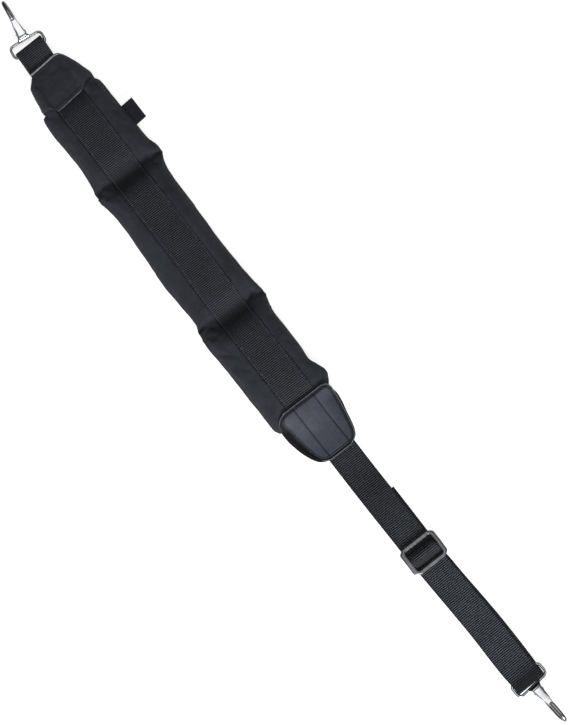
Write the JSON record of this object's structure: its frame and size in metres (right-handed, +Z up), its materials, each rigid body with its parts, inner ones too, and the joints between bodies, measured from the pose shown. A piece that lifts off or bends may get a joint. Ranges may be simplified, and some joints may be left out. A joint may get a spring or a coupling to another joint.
{
  "type": "golf bag shoulder strap",
  "caption": "Padded golf bag shoulder strap with a webbing strip, a capped end, a leather patch, a ladder slider and a snap hook on a webbing loop at each end.",
  "frame": {"origin": "centre of the strap's footprint box, on the surface it lies on", "axes": "+X along the strap from the hook at the capped end to the hook at the adjustable end, +Y across it towards the side label, +Z up through the webbing side"},
  "size_m": [1.0782, 0.112, 0.0249],
  "materials": {
    "pad_fabric": "matt padded cloth",
    "cap_fabric": "matt cloth",
    "backing_fabric": "matt cloth",
    "webbing": "ribbed webbing",
    "piping": "smooth corded edge",
    "patch_leather": "soft grained leather",
    "label_fabric": "woven label",
    "slider_plastic": "moulded gloss",
    "hook_chrome": "plated",
    "gate_chrome": "plated",
    "pin_chrome": "plated"
  },
  "bodies": {
    "strap": {"shoulder_pad": "pad_fabric", "pad_webbing": "webbing", "pad_end_cap": "cap_fabric", "end_piping": "piping", "upper_webbing_loop": "webbing", "end_patch": "patch_leather", "patch_backing": "backing_fabric", "adjuster_webbing": "webbing", "side_label": "label_fabric", "upper_hook": "hook_chrome", "upper_gate_pin": "pin_chrome", "lower_hook": "hook_chrome", "lower_gate_pin": "pin_chrome", "slider": "slider_plastic"},
    "upper_gate_body": {"upper_gate": "gate_chrome"},
    "lower_gate_body": {"lower_gate": "gate_chrome"}
  },
  "joints": [
    {"name": "upper_gate_hinge", "type": "hinge", "parent": "strap", "child": "upper_gate_body", "pos_m": [-0.49478, -0.00175, 0.00813], "axis": [-0.135, -0.9853, -0.1045], "range_deg": [0, 19], "stiffness_Nm_per_rad": 0.05, "springref_deg": -22.92},
    {"name": "lower_gate_hinge", "type": "hinge", "parent": "strap", "child": "lower_gate_body", "pos_m": [0.49454, 0.00349, 0.00813], "axis": [-0.0607, 0.9927, -0.1045], "range_deg": [0, 19], "stiffness_Nm_per_rad": 0.05, "springref_deg": -22.92}
  ]
}
